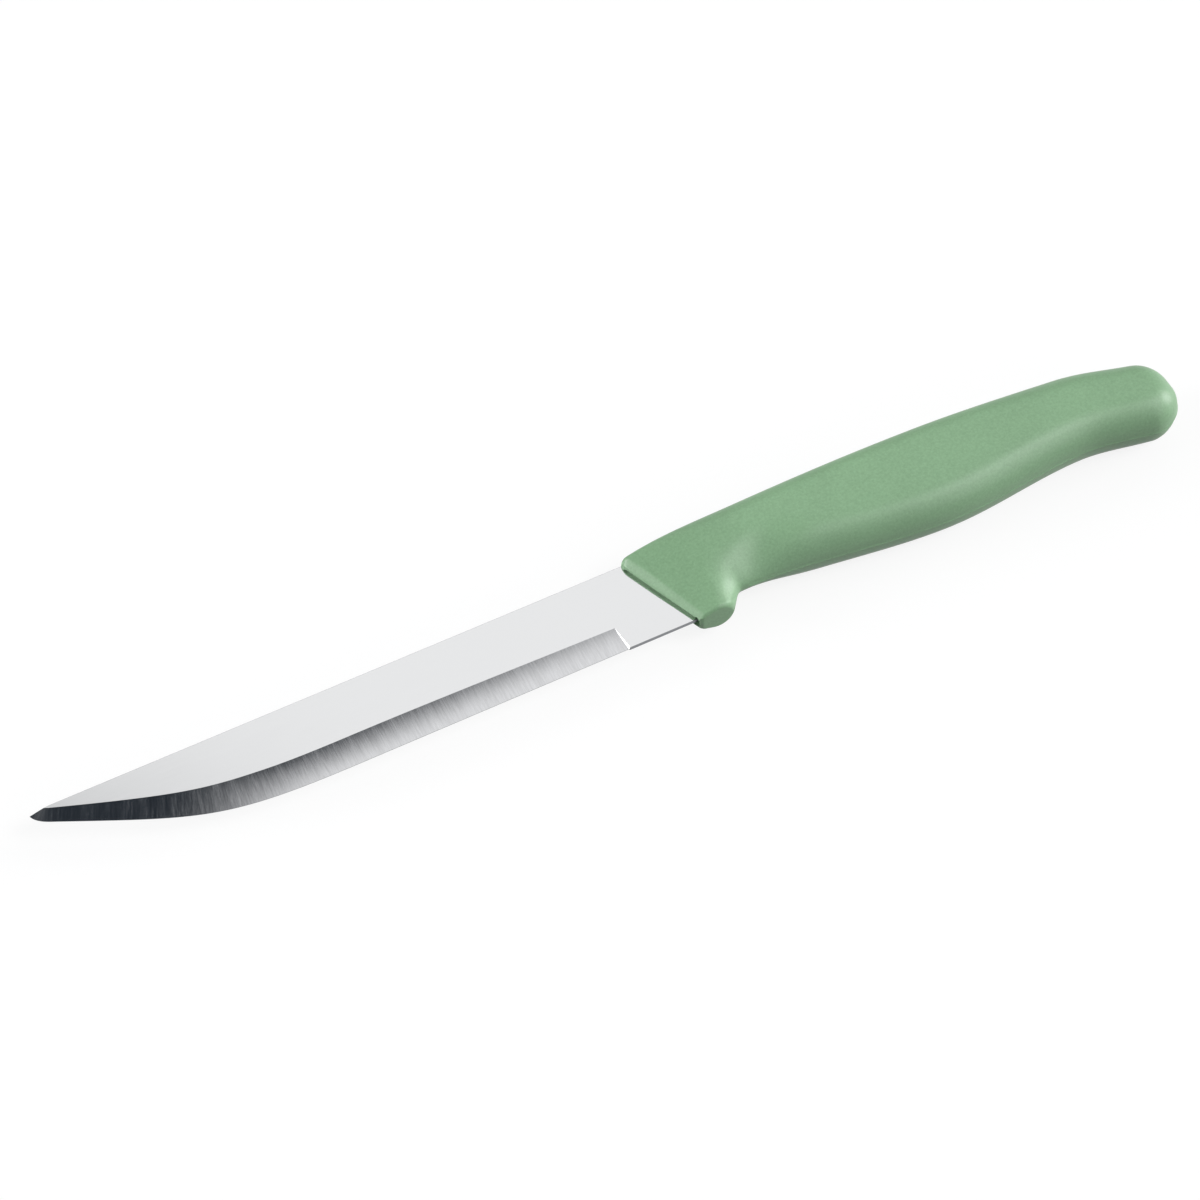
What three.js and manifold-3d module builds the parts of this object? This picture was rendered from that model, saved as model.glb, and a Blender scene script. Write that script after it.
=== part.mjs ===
// Kitchen knife for small jobs: a stamped, hollow-ground stainless blade whose tang is moulded into
// a one-piece plastic handle. Millimetres.
// The knife is drawn with x from the tip to the butt (0 where the front of the handle crosses the
// spine), y from the cutting edge to the spine (0 on the spine) and z across the blade (0 on its
// mid-plane). At the end it is laid on its side, centred, with the handle resting at z = 0.
import * as THREE from "three";
import { mergeVertices, toCreasedNormals } from "three/addons/utils/BufferGeometryUtils.js";
import Module from "manifold-3d";

const wasm = await Module();
wasm.setup();

// Blade
const BLADE_LENGTH = 110.8; // handle to tip, along the spine
const BLADE_WIDTH = 16.05; // spine to cutting edge
const BLADE_THICKNESS = 0.8;
const EDGE_THICKNESS = 0.1; // steel left at the cutting edge
const TIP_DROP = 0.4; // tip below the line of the spine
const TIP_CLIP_LENGTH = 3.6; // last stretch of the spine, sloping down to the tip
const TIP_ROUND_LENGTH = 2.7; // round between the swept edge and the tip
const TIP_ROUND_HEIGHT = 2.5;
const SWEEP_LENGTH = 52.9; // tip to where the edge starts to sweep up
const SWEEP_ANGLE = 26; // degrees between the swept edge and the spine
const SWEEP_TANGENT = 25.3; // how far the swept edge keeps that angle
const BELLY_TANGENT = 24.5; // how far the straight edge carries into the sweep

// Hollow grind
const GRIND_WHEEL_RADIUS = 55;
const GRIND_START = 6.75; // handle to the end of the grind, along the spine
const GRIND_END_SLANT = 5.6; // degrees
const GRIND_HEIGHT_HEEL = 4.8; // edge to the upper line of the grind
const GRIND_HEIGHT = 5.6;
const GRIND_HEIGHT_TIP = 2.3;
const GRIND_TAPER = 38; // stretch behind the tip in which the grind gets lower

// Tang
const SHOULDER_DEPTH = 2.5; // full-width steel buried in the handle
const TANG_END_COVER = 21; // plastic between the end of the tang and the butt
const TANG_UNDER_COVER = 2.1; // plastic between the tang and the finger recess
const TANG_DROP = 2.6; // spine to the upper edge of the tang
const TANG_HOLE_DIAMETER = 4.5;
const TANG_HOLE_COUNT = 3;
const TANG_HOLE_FIRST = 22; // handle front to the first hole
const TANG_HOLE_MARGIN = 16; // last hole to the end of the tang
const MOULD_GAP = 0.25; // between the steel and the plastic around it

// Handle
const HANDLE_LENGTH = 107;
const HANDLE_THICKNESS = 12;
const FRONT_THICKNESS = 5.2;
const FRONT_FACE_THICKNESS = 3;
const FRONT_SLANT = 22; // degrees between the front of the handle and a square cut
const FRONT_ROUND = 1.1; // depth of the rounded front edges
const FRONT_CORNER = 1.5; // depth of the rounded corner at the spine
const SLANT_FADE = 40; // stretch in which the slanted sections turn square
const SWELL_LENGTH = 21; // stretch in which the handle thickens
const BACK_RISE_FRONT = 0.5; // back of the handle above the spine
const BACK_RISE = 1.5;
const BACK_CROWN_AT = 43.5; // handle front to the highest place of the back
const BACK_FALL_TO_BUTT = 19.5; // where the back falls away to the butt
const BACK_FALL = 0.1; // back of the handle below the spine there
const BACK_END_ANGLE = 17; // degrees, slope of the back where it runs into the butt
const GUARD_DROP = 1.2; // guard below the cutting edge
const GUARD_LENGTH = 5.6;
const GUARD_CORNER = 0.3;
const GUARD_WALL_RUN = 3.9; // length of the slope between the guard and the finger recess
const GUARD_EDGE_RADIUS = 0.8;
const RECESS_DEPTH = 3.5; // finger recess above the guard
const RECESS_FLAT = 1.5; // level stretch of the recess
const BELLY_DEPTH = 0.3; // belly below the guard
const BELLY_TO_HOOK = 27;
const HOOK_RISE = 2.15; // hollow in front of the butt above the belly
const HOOK_TO_BUTT = 21.5;
const BUTT_RADIUS = 7.2;
const BUTT_DROP = 10.4; // spine to the middle of the butt
const BACK_EDGE_RADIUS = 4;
const BACK_EDGE_RADIUS_FRONT = 1.4;
const BUTT_EDGE_RADIUS = 6;

// How finely the curved surfaces are divided
const EDGE_STEPS = 22;
const STRAIGHT_STEPS = 6;
const GRIND_STEPS = 5;
const CORNER_STEPS = 7;
const FRONT_STEPS = 3;
const GUARD_STEPS = 18;
const GRIP_STEPS = 20;
const BUTT_STEPS = 8;
const LAST_BUTT_ANGLE = 88; // degrees round the butt, short of its very end
const CORNER_LIMIT = 0.98; // largest share of a section's half size that a round takes
const SECTION_PASSES = 40; // rounds that settle where a slanted section meets the underside
const CREASE_ANGLE = 30; // degrees above which a shaded edge stays sharp

const radians = THREE.MathUtils.degToRad;
const frontSlope = Math.tan(radians(FRONT_SLANT));

// Heights and places that the blade, the tang and the handle share
const guardY = -BLADE_WIDTH - GUARD_DROP;
const guardFront = -frontSlope * guardY;
const guardRear = guardFront + GUARD_LENGTH;
const recessY = guardY + RECESS_DEPTH;
const recessFront = guardRear + GUARD_WALL_RUN;
const recessRear = recessFront + RECESS_FLAT;
const hookAt = HANDLE_LENGTH - HOOK_TO_BUTT;
const bellyAt = hookAt - BELLY_TO_HOOK;
const bellyY = guardY - BELLY_DEPTH;
const tangEnd = HANDLE_LENGTH - TANG_END_COVER;
const tangTop = -TANG_DROP;
const tangBottom = recessY + TANG_UNDER_COVER;
const tangMiddle = (tangTop + tangBottom) / 2;

// A closed geometry as a solid that can be joined and cut.
function solid(geometry) {
  const bare = geometry.clone();
  bare.deleteAttribute("normal");
  bare.deleteAttribute("uv");
  const merged = mergeVertices(bare);
  return new wasm.Manifold(
    new wasm.Mesh({
      numProp: 3,
      vertProperties: merged.attributes.position.array,
      triVerts: new Uint32Array(merged.index.array),
    }),
  );
}

// A finished solid as a named mesh.
function namedMesh(name, body, material) {
  const { vertProperties, triVerts } = body.getMesh();
  const geometry = new THREE.BufferGeometry();
  geometry.setAttribute("position", new THREE.BufferAttribute(vertProperties, 3));
  geometry.setIndex(new THREE.BufferAttribute(triVerts, 1));
  const mesh = new THREE.Mesh(toCreasedNormals(geometry, radians(CREASE_ANGLE)), material);
  mesh.name = name;
  return mesh;
}

// A flat plate of the given outline, centred on the mid-plane of the blade.
function plate(shape, thickness) {
  const geometry = new THREE.ExtrudeGeometry(shape, {
    depth: thickness,
    bevelEnabled: false,
    curveSegments: EDGE_STEPS,
  });
  return solid(geometry.translate(0, 0, -thickness / 2));
}

// A closed skin over rings of equal length, each running the same way round.
// Each end is closed by a fan from the middle of its ring.
function loft(rings) {
  const count = rings[0].length;
  const middle = (ring) =>
    ring.reduce((sum, point) => sum.add(point), new THREE.Vector3()).divideScalar(count);
  const points = [...rings.flat(), middle(rings[0]), middle(rings.at(-1))];
  const startMiddle = points.length - 2;
  const endMiddle = points.length - 1;
  const lastRing = (rings.length - 1) * count;
  const faces = [];
  for (let i = 0; i < count; i++) {
    const next = (i + 1) % count;
    for (let row = 0; row < lastRing; row += count) {
      faces.push(row + i, row + count + next, row + next);
      faces.push(row + i, row + count + i, row + count + next);
    }
    faces.push(startMiddle, i, next);
    faces.push(endMiddle, lastRing + next, lastRing + i);
  }
  const geometry = new THREE.BufferGeometry().setFromPoints(points);
  geometry.setIndex(faces);
  return solid(geometry);
}

// A smooth height over x through the given points, with no overshoot: it is level at each highest
// and lowest point.
function smoothHeight(points) {
  const slopes = [];
  for (let i = 0; i + 1 < points.length; i++)
    slopes.push((points[i + 1][1] - points[i][1]) / (points[i + 1][0] - points[i][0]));
  const tangent = (i) => {
    const before = slopes[i - 1] ?? slopes[i];
    const after = slopes[i] ?? slopes[i - 1];
    return before * after <= 0 ? 0 : (2 * before * after) / (before + after);
  };
  return (x) => {
    let i = 0;
    while (i < slopes.length - 1 && x > points[i + 1][0]) i++;
    const run = points[i + 1][0] - points[i][0];
    const u = THREE.MathUtils.clamp((x - points[i][0]) / run, 0, 1);
    const rise = u * u * (3 - 2 * u);
    const leave = u * (1 - u) * (1 - u) * run * tangent(i);
    const arrive = u * u * (u - 1) * run * tangent(i + 1);
    return points[i][1] * (1 - rise) + points[i + 1][1] * rise + leave + arrive;
  };
}

// Share of full size at a distance in from a rounded end: 0 at the end, 1 past the round.
function roundedEnd(distance, radius) {
  const inside = THREE.MathUtils.clamp(1 - distance / radius, 0, 1);
  return Math.sqrt(1 - inside * inside);
}

// Evenly spaced numbers after one value, up to and with another.
function spread(from, to, count) {
  return Array.from({ length: count }, (_, i) => from + ((to - from) * (i + 1)) / count);
}

// Edge of the blade
const tip = new THREE.Vector2(-BLADE_LENGTH, -TIP_DROP);
const tipRoundStart = new THREE.Vector2(tip.x + TIP_ROUND_LENGTH, tip.y - TIP_ROUND_HEIGHT);
const sweepStart = new THREE.Vector2(tip.x + SWEEP_LENGTH, -BLADE_WIDTH);
const sweepDirection = new THREE.Vector2(1, 0).rotateAround(new THREE.Vector2(), -radians(SWEEP_ANGLE));
const sweep = new THREE.CubicBezierCurve(
  sweepStart,
  new THREE.Vector2(sweepStart.x - BELLY_TANGENT, -BLADE_WIDTH),
  tipRoundStart.clone().addScaledVector(sweepDirection, SWEEP_TANGENT),
  tipRoundStart,
);
const tipRound = new THREE.QuadraticBezierCurve(
  tipRoundStart,
  tipRoundStart.clone().addScaledVector(sweepDirection, -TIP_ROUND_HEIGHT),
  tip,
);

// Tang and its shoulders, grown on every side by a gap that is 0 for the steel itself.
function tangOutline(shape, gap) {
  const lastHole = tangEnd - TANG_HOLE_MARGIN;
  const heel = -BLADE_WIDTH - gap;
  const top = tangTop + gap;
  const bottom = tangBottom - gap;
  const shoulderAt = (y) => SHOULDER_DEPTH + gap - frontSlope * y;
  const round = (top - bottom) / 2;
  const roundAt = tangEnd + gap - round;
  shape.lineTo(shoulderAt(gap), gap);
  shape.lineTo(shoulderAt(top), top);
  shape.lineTo(roundAt, top);
  shape.absarc(roundAt, tangMiddle, round, Math.PI / 2, -Math.PI / 2, true);
  shape.lineTo(shoulderAt(bottom), bottom);
  shape.lineTo(shoulderAt(heel), heel);
  for (const x of [TANG_HOLE_FIRST, ...spread(TANG_HOLE_FIRST, lastHole, TANG_HOLE_COUNT - 1)]) {
    const hole = new THREE.Path();
    hole.absarc(x, tangMiddle, TANG_HOLE_DIAMETER / 2 - gap, 0, 2 * Math.PI, false);
    shape.holes.push(hole);
  }
}

function stampedBlank() {
  const shape = new THREE.Shape();
  shape.moveTo(tip.x, tip.y);
  shape.lineTo(tip.x + TIP_CLIP_LENGTH, 0);
  tangOutline(shape, 0);
  shape.lineTo(sweepStart.x, sweepStart.y);
  shape.bezierCurveTo(sweep.v1.x, sweep.v1.y, sweep.v2.x, sweep.v2.y, sweep.v3.x, sweep.v3.y);
  shape.quadraticCurveTo(tipRound.v1.x, tipRound.v1.y, tipRound.v2.x, tipRound.v2.y);
  return plate(shape, BLADE_THICKNESS);
}

const grindHeight = smoothHeight([
  [tip.x, GRIND_HEIGHT_TIP],
  [tip.x + GRIND_TAPER, GRIND_HEIGHT],
  [sweepStart.x, GRIND_HEIGHT],
  [-GRIND_START, GRIND_HEIGHT_HEEL],
]);

// Places along the edge, heel to tip and a little past it, with the way in to the blade.
function grindStations() {
  const heelSlant = radians(GRIND_END_SLANT);
  const heel = new THREE.Vector2(-GRIND_START + GRIND_HEIGHT_HEEL * Math.tan(heelSlant), -BLADE_WIDTH);
  const inward = new THREE.Vector2(0, 1);
  const stations = [{ at: heel, inward: new THREE.Vector2(-Math.tan(heelSlant), 1) }];
  for (const u of spread(0, 1, STRAIGHT_STEPS))
    stations.push({ at: heel.clone().lerp(sweepStart, u), inward });
  for (const curve of [sweep, tipRound])
    for (const u of spread(0, 1, EDGE_STEPS)) {
      const along = curve.getTangent(u);
      stations.push({ at: curve.getPoint(u), inward: new THREE.Vector2(along.y, -along.x) });
    }
  const last = stations.at(-1);
  const past = last.at.clone().addScaledVector(tipRound.getTangent(1), TIP_ROUND_LENGTH);
  stations.push({ at: past, inward: last.inward });
  return stations;
}

// What the wheel takes off one side (1 above the mid-plane, -1 below it): a hollow from the upper
// line of the grind to the edge, and all that lies outside it.
function groundAway(side) {
  const edgeHalf = EDGE_THICKNESS / 2;
  const fall = BLADE_THICKNESS / 2 - edgeHalf;
  const rings = grindStations().map(({ at, inward }) => {
    const height = grindHeight(at.x);
    const hollow = (share) => (share * (1 - share) * height * height) / (2 * GRIND_WHEEL_RADIUS);
    const depthAt = (share) => edgeHalf + fall * share - hollow(share);
    const shares = [0, ...spread(0, 1, GRIND_STEPS), 1 + 1 / GRIND_STEPS];
    const section = shares.map((share) => [share * height, depthAt(share)]);
    const clear = depthAt(shares.at(-1)) + BLADE_THICKNESS;
    section.push([shares.at(-1) * height, clear], [-height, clear], [-height, edgeHalf]);
    const ring = section.map(
      ([inset, z]) => new THREE.Vector3(at.x + inward.x * inset, at.y + inward.y * inset, side * z),
    );
    return side > 0 ? ring : ring.reverse();
  });
  return loft(rings);
}

// Outline of the handle seen from the side
const buttCentre = new THREE.Vector2(HANDLE_LENGTH - BUTT_RADIUS, -BUTT_DROP);
const backEnd = new THREE.Vector2(0, BUTT_RADIUS)
  .rotateAround(new THREE.Vector2(), -radians(BACK_END_ANGLE))
  .add(buttCentre);
const buttHalfHeight = (x) => BUTT_RADIUS * roundedEnd(HANDLE_LENGTH - x, BUTT_RADIUS);

const back = smoothHeight([
  [0, BACK_RISE_FRONT],
  [BACK_CROWN_AT, BACK_RISE],
  [HANDLE_LENGTH - BACK_FALL_TO_BUTT, -BACK_FALL],
  [backEnd.x, backEnd.y],
]);
const under = smoothHeight([
  [guardFront, guardY + GUARD_CORNER],
  [guardFront + GUARD_LENGTH / 4, guardY],
  [guardRear, guardY],
  [recessFront, recessY],
  [recessRear, recessY],
  [bellyAt, bellyY],
  [hookAt, bellyY + HOOK_RISE],
  [buttCentre.x, buttCentre.y - BUTT_RADIUS],
]);
const backAt = (x) => (x < backEnd.x ? back(x) : buttCentre.y + buttHalfHeight(x));
const underAt = (x) => (x < buttCentre.x ? under(x) : buttCentre.y - buttHalfHeight(x));

// Half thickness of the handle at a distance behind its slanted front.
function halfThickness(setback) {
  const thin = Math.max(0, 1 - setback / SWELL_LENGTH);
  const full = (HANDLE_THICKNESS - (HANDLE_THICKNESS - FRONT_THICKNESS) * thin * thin) / 2;
  const faceHalf = FRONT_FACE_THICKNESS / 2;
  const front = faceHalf + (full - faceHalf) * roundedEnd(setback, FRONT_ROUND);
  return front * roundedEnd(HANDLE_LENGTH - setback, BUTT_EDGE_RADIUS);
}

// One section of the handle. The front sections lie parallel to the slanted front and the others
// turn square to the handle. The lower corners are sharp at the guard and fully round along the
// belly, and the upper ones grow from the front to a full round at the butt.
function handleSection(setback) {
  const fade = Math.max(0, 1 - setback / SLANT_FADE);
  const slope = frontSlope * fade * fade;
  const along = (y) => setback - slope * y;
  let bottom = guardY;
  for (let pass = 0; pass < SECTION_PASSES; pass++) bottom = underAt(along(bottom));
  const cornerCut = FRONT_CORNER * (1 - roundedEnd(setback, FRONT_CORNER));
  const top = backAt(setback) - cornerCut;
  const half = halfThickness(setback);
  const swell = THREE.MathUtils.smoothstep(setback, 0, SWELL_LENGTH);
  const gripRadius = THREE.MathUtils.lerp(BACK_EDGE_RADIUS_FRONT, BACK_EDGE_RADIUS, swell);
  const buttShare = THREE.MathUtils.smoothstep(setback, bellyAt, buttCentre.x);
  const backRadius = THREE.MathUtils.lerp(gripRadius, half, buttShare);
  const guardShare = THREE.MathUtils.smoothstep(along(bottom), guardRear, recessRear);
  const underRadius = THREE.MathUtils.lerp(GUARD_EDGE_RADIUS, half, guardShare);
  const most = CORNER_LIMIT * Math.min(half, (top - bottom) / 2);
  const topRadius = Math.min(backRadius, most);
  const bottomRadius = Math.min(underRadius, most);
  const corners = [
    { y: top - topRadius, z: half - topRadius, radius: topRadius, turn: 0 },
    { y: top - topRadius, z: topRadius - half, radius: topRadius, turn: -90 },
    { y: bottom + bottomRadius, z: bottomRadius - half, radius: bottomRadius, turn: -180 },
    { y: bottom + bottomRadius, z: half - bottomRadius, radius: bottomRadius, turn: -270 },
  ];
  return corners.flatMap(({ y, z, radius, turn }) =>
    [0, ...spread(0, 1, CORNER_STEPS)].map((share) => {
      const angle = radians(turn + 90 - 90 * share);
      const cornerY = y + radius * Math.cos(angle);
      return new THREE.Vector3(along(cornerY), cornerY, z + radius * Math.sin(angle));
    }),
  );
}

function handleSkin() {
  const buttAngles = spread(0, LAST_BUTT_ANGLE, BUTT_STEPS);
  const setbacks = [
    0,
    ...spread(0, FRONT_ROUND, FRONT_STEPS),
    ...spread(FRONT_ROUND, recessRear, GUARD_STEPS),
    ...spread(recessRear, buttCentre.x, GRIP_STEPS),
    ...buttAngles.map((angle) => buttCentre.x + BUTT_RADIUS * Math.sin(radians(angle))),
  ];
  return loft(setbacks.map(handleSection));
}

// Room for the tang, open at the front. Plastic stands through the holes in the tang.
function tangPocket() {
  const shape = new THREE.Shape();
  const ahead = -HANDLE_THICKNESS;
  shape.moveTo(ahead, -BLADE_WIDTH - MOULD_GAP);
  shape.lineTo(ahead, MOULD_GAP);
  tangOutline(shape, MOULD_GAP);
  return plate(shape, BLADE_THICKNESS + 2 * MOULD_GAP);
}

const steel = new THREE.MeshStandardMaterial({ color: 0xc9cbcd, roughness: 0.22, metalness: 1 });
const plastic = new THREE.MeshStandardMaterial({ color: 0x86a886, roughness: 0.55, metalness: 0 });

const knife = new THREE.Group();
knife.add(
  namedMesh("blade", stampedBlank().subtract(groundAway(1)).subtract(groundAway(-1)), steel),
  namedMesh("handle", handleSkin().subtract(tangPocket()), plastic),
);

// The knife lies on its side with the middle of its footprint at the origin.
const extent = new THREE.Box3().setFromObject(knife);
const centre = extent.getCenter(new THREE.Vector3());
knife.position.set(-centre.x, -centre.y, -extent.min.z);

export default knife;
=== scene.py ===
import math

import bmesh
import bpy
from bpy.props import FloatProperty, FloatVectorProperty, PointerProperty
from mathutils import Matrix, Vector


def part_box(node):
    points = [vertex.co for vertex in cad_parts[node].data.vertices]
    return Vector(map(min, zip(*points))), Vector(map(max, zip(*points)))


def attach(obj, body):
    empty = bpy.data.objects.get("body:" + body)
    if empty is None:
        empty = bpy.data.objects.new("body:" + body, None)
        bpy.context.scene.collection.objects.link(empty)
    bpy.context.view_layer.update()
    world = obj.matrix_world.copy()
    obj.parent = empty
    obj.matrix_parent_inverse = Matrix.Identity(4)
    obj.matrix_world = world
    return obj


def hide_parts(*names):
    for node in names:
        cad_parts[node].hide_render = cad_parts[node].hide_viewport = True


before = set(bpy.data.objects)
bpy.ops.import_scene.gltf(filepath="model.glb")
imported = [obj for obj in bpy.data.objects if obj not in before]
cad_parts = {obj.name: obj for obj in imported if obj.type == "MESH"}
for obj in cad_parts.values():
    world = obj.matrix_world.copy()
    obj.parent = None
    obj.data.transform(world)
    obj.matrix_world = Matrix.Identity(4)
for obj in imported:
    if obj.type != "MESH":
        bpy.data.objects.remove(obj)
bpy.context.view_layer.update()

bl_info = {
    "name": "Kitchen knife with a moulded handle",
    "version": (1, 0, 0),
    "blender": (4, 5, 0),
    "location": "View3D > Sidebar > Knife",
    "description": "Models a hollow-ground blade, its moulded handle and a studio around the CAD frame",
    "category": "Object",
}

# The knife is drawn lying on its side: x from the tip to the butt, 0 where the front of the handle
# crosses the spine; y from the cutting edge to the spine, 0 on the spine; z across the blade, 0 on
# its mid-plane. Everything is in metres.
MM = 0.001
blade_low, blade_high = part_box("blade")
handle_low, handle_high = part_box("handle")


def length(name, description, millimetres):
    """A size that a user can change, kept in metres."""
    return FloatProperty(
        name=name, description=description, default=millimetres * MM, min=0.0, precision=5, unit="LENGTH"
    )


def angle(name, description, degrees):
    """An angle that a user can change, kept in radians."""
    return FloatProperty(
        name=name, description=description, default=math.radians(degrees), subtype="ANGLE", unit="ROTATION"
    )


def linear(colour):
    """A colour written as sRGB hex, as the linear values that shaders use."""
    shares = [(colour >> shift & 255) / 255 for shift in (16, 8, 0)]
    return [v / 12.92 if v <= 0.04045 else ((v + 0.055) / 1.055) ** 2.4 for v in shares]


def tint(name, description, colour):
    """A colour that a user can change."""
    return FloatVectorProperty(
        name=name, description=description, subtype="COLOR", size=3, min=0.0, max=1.0, default=linear(colour)
    )


class KnifeBladeSizes(bpy.types.PropertyGroup):
    """Sizes of the ground blade and its tang"""

    length: length("Length", "Handle to tip, along the spine", 110.8)
    width: length("Width", "Spine to cutting edge", 16.05)
    thickness: length("Thickness", "Thickness of the steel strip", (blade_high.z - blade_low.z) / MM)
    edge_thickness: length("Edge thickness", "Steel left at the cutting edge", 0.1)
    sweep_length: length("Sweep length", "Tip to where the edge starts to sweep up", 52.9)
    sweep_angle: angle("Sweep angle", "Between the swept edge and the spine", 26)
    wheel_radius: length("Wheel radius", "Radius of the wheel that hollows the bevel", 45)
    grind_height: length("Grind height", "Cutting edge to the upper line of the grind", 5.6)
    grind_height_heel: length("Grind height at the heel", "The same, next to the handle", 4.8)
    grind_height_tip: length("Grind height at the tip", "The same, at the tip", 2.3)
    grind_start: length("Grind start", "Handle to the end of the grind, along the spine", 6.75)


class KnifeHandleSizes(bpy.types.PropertyGroup):
    """Sizes of the moulded handle"""

    length: length("Length", "Front of the handle to the butt", 107)
    thickness: length("Thickness", "Across the grip", (handle_high.z - handle_low.z) / MM)
    front_thickness: length("Front thickness", "Across the front, if its edges were not chamfered", 4.4)
    front_slant: angle("Front slant", "Between the front and a square cut", 22)
    back_rise: length("Back rise", "Crown of the back above the spine", 1.5)
    guard_drop: length("Guard drop", "Finger guard below the cutting edge", 1.2)
    guard_length: length("Guard length", "Front to rear of the finger guard", 6.4)
    recess_depth: length("Recess depth", "Finger recess above the guard", 3.5)
    belly_depth: length("Belly depth", "Belly below the guard", 0.3)
    hook_rise: length("Hook rise", "Hollow in front of the butt above the belly", 2.15)
    butt_radius: length("Butt radius", "Round of the butt, seen from the side", 7.2)
    parting_line: length("Parting line", "Height of the fine ridge where the mould closes", 0.13)


class KnifeColours(bpy.types.PropertyGroup):
    """Colours of the finishes"""

    plastic: tint("Plastic", "Sage green of the handle", 0x82A781)
    steel: tint("Steel", "Polished flats of the blade", 0xE4E4E4)
    ground: tint("Ground steel", "Bevel of the blade, as the wheel leaves it", 0xD4D4D5)
    # Partly the dull sheared finish and partly painted shade: darker than the steel, as if the narrow edges
    # reflected a shadowed floor.
    sheared_and_painted_shade: tint("Sheared steel", "Narrow edges of the strip, as the press leaves them", 0x8E9093)


class KnifeStage(bpy.types.PropertyGroup):
    """Camera and floor"""

    azimuth: angle("Azimuth", "Camera to the side of the knife", -27.409)
    elevation: angle("Elevation", "Camera above the floor", 54)
    distance: length("Distance", "Camera to the point that it looks at", 650)
    floor: tint("Floor", "White floor", 0xFFFFFF)


BLADE_TIP_DROP = 0.4 * MM
BLADE_TIP_CLIP = 3.6 * MM
BLADE_TIP_ROUND = Vector((2.7, -2.5)) * MM
BLADE_SWEEP_TANGENT = 25.3 * MM
BLADE_BELLY_TANGENT = 24.5 * MM
GRIND_TAPER = 38 * MM
GRIND_END_SLANT = math.radians(5.6)
PLUNGE_RUN = 0.4  # slope of the step at the end of the grind, length for depth
PLUNGE_FOOT = 0.12 * MM
TIP_HOLLOW = 0.14
HOLLOW_FADE = 30.5 * MM
SPINE_BREAK = 0.05 * MM
SPINE_BREAK_END = 2 * MM  # behind the slope at the tip
SHOULDER_DEPTH = 2.5 * MM
TANG_END_COVER = 21 * MM
TANG_UNDER_COVER = 2.1 * MM
TANG_DROP = 2.6 * MM
TANG_END_FLAT = 0.1 * MM
TANG_CORNER_OFF = 1 * MM  # how far the tang's corners are from its middle, at the least
TANG_HOLE_RADIUS = 2.25 * MM
TANG_HOLES = (22 * MM, 46 * MM, 70 * MM)
MOULD_GAP = 0.02 * MM

FRONT_FACE_HALF = 1.5 * MM
FRONT_RINGS = 2.4 * MM
SHUT_OFF_HALF = 1.5 * MM  # recess round the blade, where the mould closes on the steel
SHUT_OFF_ROUND = 0.8 * SHUT_OFF_HALF
SHUT_OFF_DEPTH = 0.6 * MM
SHUT_OFF_TOP = 0.75 * MM
SHUT_OFF_WEB = 0.3 * MM
SHUT_OFF_HEEL = 1.1 * MM  # length of the deeper end below the heel of the blade
SHUT_OFF_HEEL_DEPTH = 1.8 * MM
SHUT_OFF_DRAFT = (1, 0.98, 0.3)
FRONT_BREAK = 0.12 * MM
CHAMFER_SLOPE = 0.84
CHAMFER_BLEND = 0.2 * MM
FRONT_CORNER = 1.5 * MM
SLANT_FADE = 40 * MM
SWELL_LENGTH = 21 * MM
BACK_RISE_FRONT = 0.5 * MM
BACK_CROWN_AT = 43.5 * MM
BACK_FALL_TO_BUTT = 19.5 * MM
BACK_FALL = 0.1 * MM
BACK_END_ANGLE = math.radians(17)
GUARD_CORNER = 0.3 * MM
GUARD_CORNER_RUN = 0.6 * MM
GUARD_WALL_RUN = 3.5 * MM
GUARD_WALL_FOOT = (0.12, 0.13)  # shares of the run and of the recess depth
GUARD_EDGE_RADIUS = 0.7 * MM
GUARD_EDGE_RADIUS_FRONT = 0.4 * MM
GUARD_TAPER = 0.2  # how much thinner the guard is than the back above it
GUARD_TAPER_TOP = 0.3  # where the taper starts, as a share of the blade's width
RECESS_ROUNDING = 1.9  # depth of the rounding at the recess, next to that of the belly
SCOOP_DEPTH = 2 * MM
SCOOP_EDGE = 3 * MM  # half width of the soft edge between the guard and the scoop
SCOOP_LENGTH = 17 * MM
SCOOP_FOOT = 2.2 * MM  # where the scoop has run out down to the end of the guard
SCOOP_AHEAD = 1.3 * MM  # how far the soft edge lies in front of the wall behind the guard
SCOOP_TOP = (-12 * MM, -4.5 * MM)  # where the scoop runs out up the side
RECESS_BLEND = 15 * MM  # behind the recess, where the rounding of the recess has run out
RECESS_FLAT = 1.5 * MM
BELLY_TO_HOOK = 27 * MM
HOOK_TO_BUTT = 21.5 * MM
BUTT_DROP = 10.4 * MM
BACK_EDGE_RADIUS = 4 * MM
BACK_EDGE_RADIUS_FRONT = 1.4 * MM
BUTT_EDGE_RADIUS = 6 * MM
BUTT_EDGE_POWER = 1.7
PARTING_HALF_WIDTH = 0.2 * MM
CORNER_LIMIT = 0.95
LAST_BUTT_ANGLE = math.radians(88.5)

HOLLOW_ROWS = 14
FLAT_SHARES = (0.4, 0.8, 1.0)
PLUNGE_COLUMN = 1  # lines of the blade's grid: the top of the step, and the first one on the bevel
BEVEL_COLUMN = 2
STRAIGHT_COLUMNS = 30
SWEEP_COLUMNS = 72
TIP_COLUMNS = 24
TANG_SEGMENTS = 12
TANG_HOLE_SIDES = 48
TANG_HOLE_CUTTER = 4  # length of a hole's cutter, in thicknesses of the strip
FRONT_RING_COUNT = 18
GUARD_RING_COUNT = 60
GRIP_RING_COUNT = 90
BUTT_RING_COUNT = 26
CORNER_SEGMENTS = 12
SHUT_OFF_SEGMENTS = 6
SPINE_SEGMENTS = 2
SIDE_CUTS = 15
SECTION_ROUNDS = 40  # tries to find where a leaning section meets the underside
RECESS_LINE_STEPS = 120
RECESS_LINE_AHEAD = 8 * MM
RECESS_LINE_BEHIND = 12 * MM
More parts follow.
